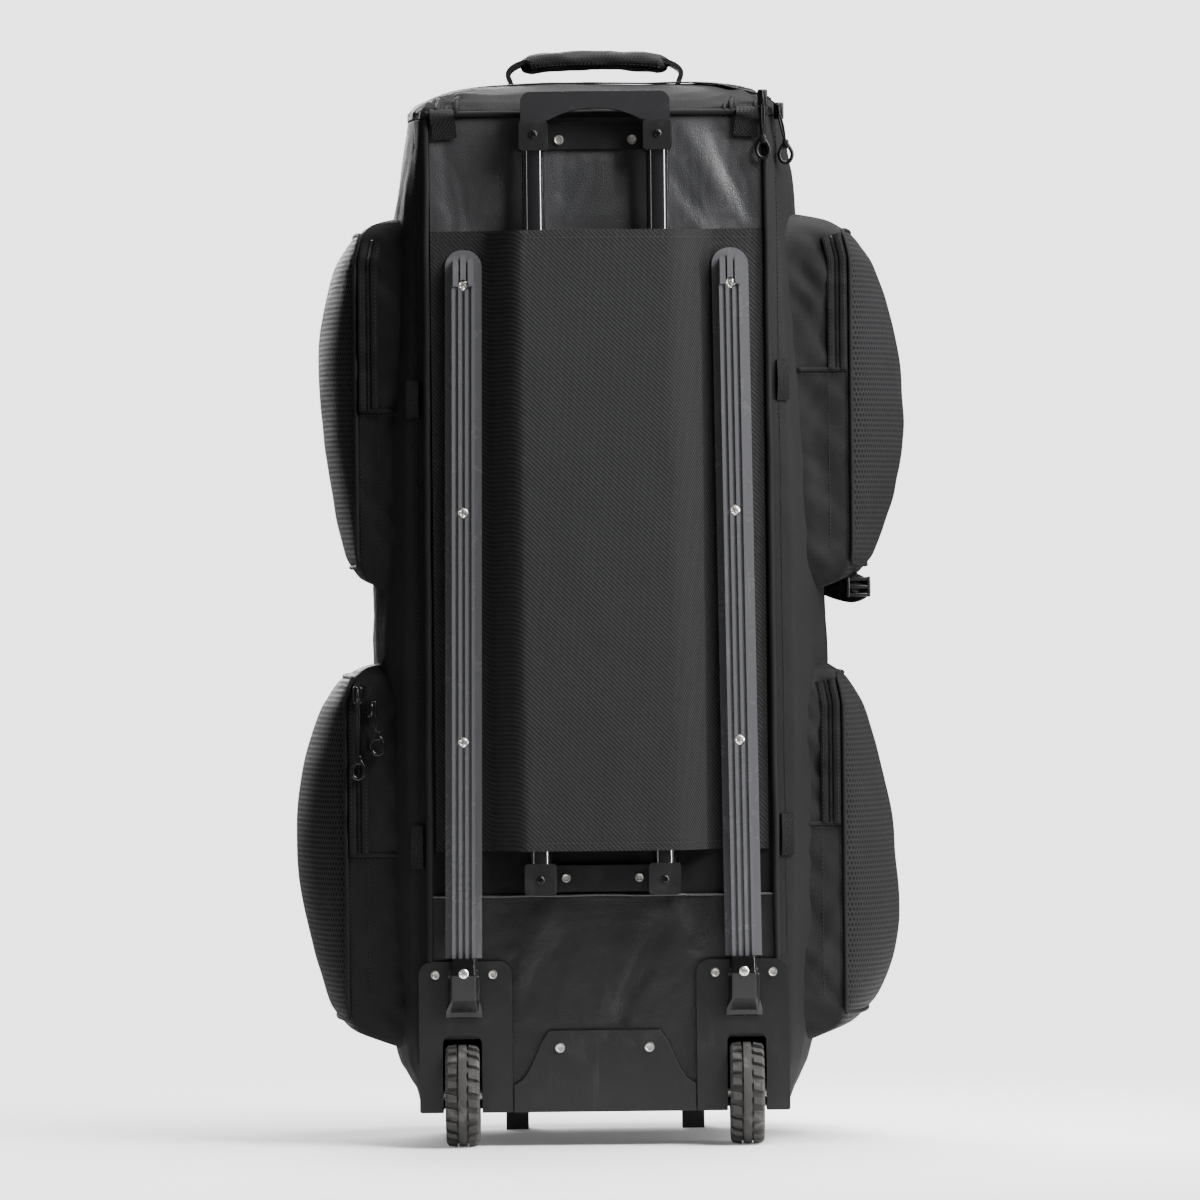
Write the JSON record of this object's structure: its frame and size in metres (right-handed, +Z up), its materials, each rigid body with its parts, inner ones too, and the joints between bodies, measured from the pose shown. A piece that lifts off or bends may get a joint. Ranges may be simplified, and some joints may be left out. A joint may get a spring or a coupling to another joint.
{
  "type": "wheeled cricket kit bag",
  "caption": "Tall soft bag on wheels with a pull-out trolley handle, skid rails, bulging side pockets and a padded carry handle.",
  "frame": {"origin": "middle of the bag's box, on the floor", "axes": "+Z up along the bag's length; the wheeled back with the trolley handle faces -Y; X runs across"},
  "size_m": [0.5406, 0.378, 0.9623],
  "materials": {
    "polyester": "plain woven polyester",
    "woven_nylon": "coarse ballistic weave",
    "dobby": "honeycomb dobby weave",
    "vinyl": "coated fabric, semi-gloss",
    "webbing": "ribbed webbing",
    "moulded_plastic": "moulded, satin",
    "tube_black": "gloss black",
    "tyre_rubber": "dusty rubber",
    "steel": "nickel plated",
    "zip_tape": "tape and coil"
  },
  "bodies": {
    "body": {"main_shell": "polyester", "top_lid": "polyester", "back_panel_upper": "vinyl", "back_panel_lower": "vinyl", "piping_left": "polyester", "piping_right": "polyester", "piping_top": "polyester", "trolley_sleeve": "woven_nylon", "upper_bracket": "moulded_plastic", "lower_bracket": "moulded_plastic", "outer_tube_left": "tube_black", "outer_tube_right": "tube_black", "rail_left": "moulded_plastic", "rail_right": "moulded_plastic", "rail_foot_left": "moulded_plastic", "rail_foot_right": "moulded_plastic", "wheel_housing_left": "moulded_plastic", "wheel_housing_right": "moulded_plastic", "axle_left": "steel", "axle_right": "steel", "kick_plate": "moulded_plastic", "foot_left": "moulded_plastic", "foot_right": "moulded_plastic", "main_zip_top": "zip_tape", "main_zip_left": "zip_tape", "main_zip_right": "zip_tape", "main_pull_left": "steel", "main_pull_right": "steel", "pocket_pull_upper": "moulded_plastic", "pocket_pull_lower": "moulded_plastic", "corner_tab_left": "webbing", "corner_tab_right": "webbing", "carry_strap": "webbing", "carry_wrap": "woven_nylon", "pocket_upper_left": "dobby", "pocket_zip_upper_left": "zip_tape", "side_tab_upper_left": "webbing", "pocket_upper_right": "dobby", "pocket_zip_upper_right": "zip_tape", "side_tab_upper_right": "webbing", "pocket_lower_left": "dobby", "pocket_zip_lower_left": "zip_tape", "side_tab_lower_left": "webbing", "pocket_lower_right": "dobby", "pocket_zip_lower_right": "zip_tape", "side_tab_lower_right": "webbing", "rail_screw_left_top": "steel", "rail_screw_left_middle": "steel", "rail_screw_left_bottom": "steel", "rail_screw_right_top": "steel", "rail_screw_right_middle": "steel", "rail_screw_right_bottom": "steel"},
    "trolley": {"inner_tube_left": "tube_black", "inner_tube_right": "tube_black", "trolley_grip": "moulded_plastic"},
    "wheel_left": {"tyre_left": "tyre_rubber", "hub_left": "moulded_plastic"},
    "wheel_right": {"tyre_right": "tyre_rubber", "hub_right": "moulded_plastic"}
  },
  "joints": [
    {"name": "trolley_slide", "type": "slide", "parent": "body", "child": "trolley", "axis": [0, 0, 1], "range_m": [0, 0.4]},
    {"name": "wheel_left_spin", "type": "hinge", "parent": "body", "child": "wheel_left", "pos_m": [-0.124, -0.144, 0.045], "axis": [1, 0, 0], "continuous": true},
    {"name": "wheel_right_spin", "type": "hinge", "parent": "body", "child": "wheel_right", "pos_m": [0.124, -0.144, 0.045], "axis": [1, 0, 0], "continuous": true}
  ]
}
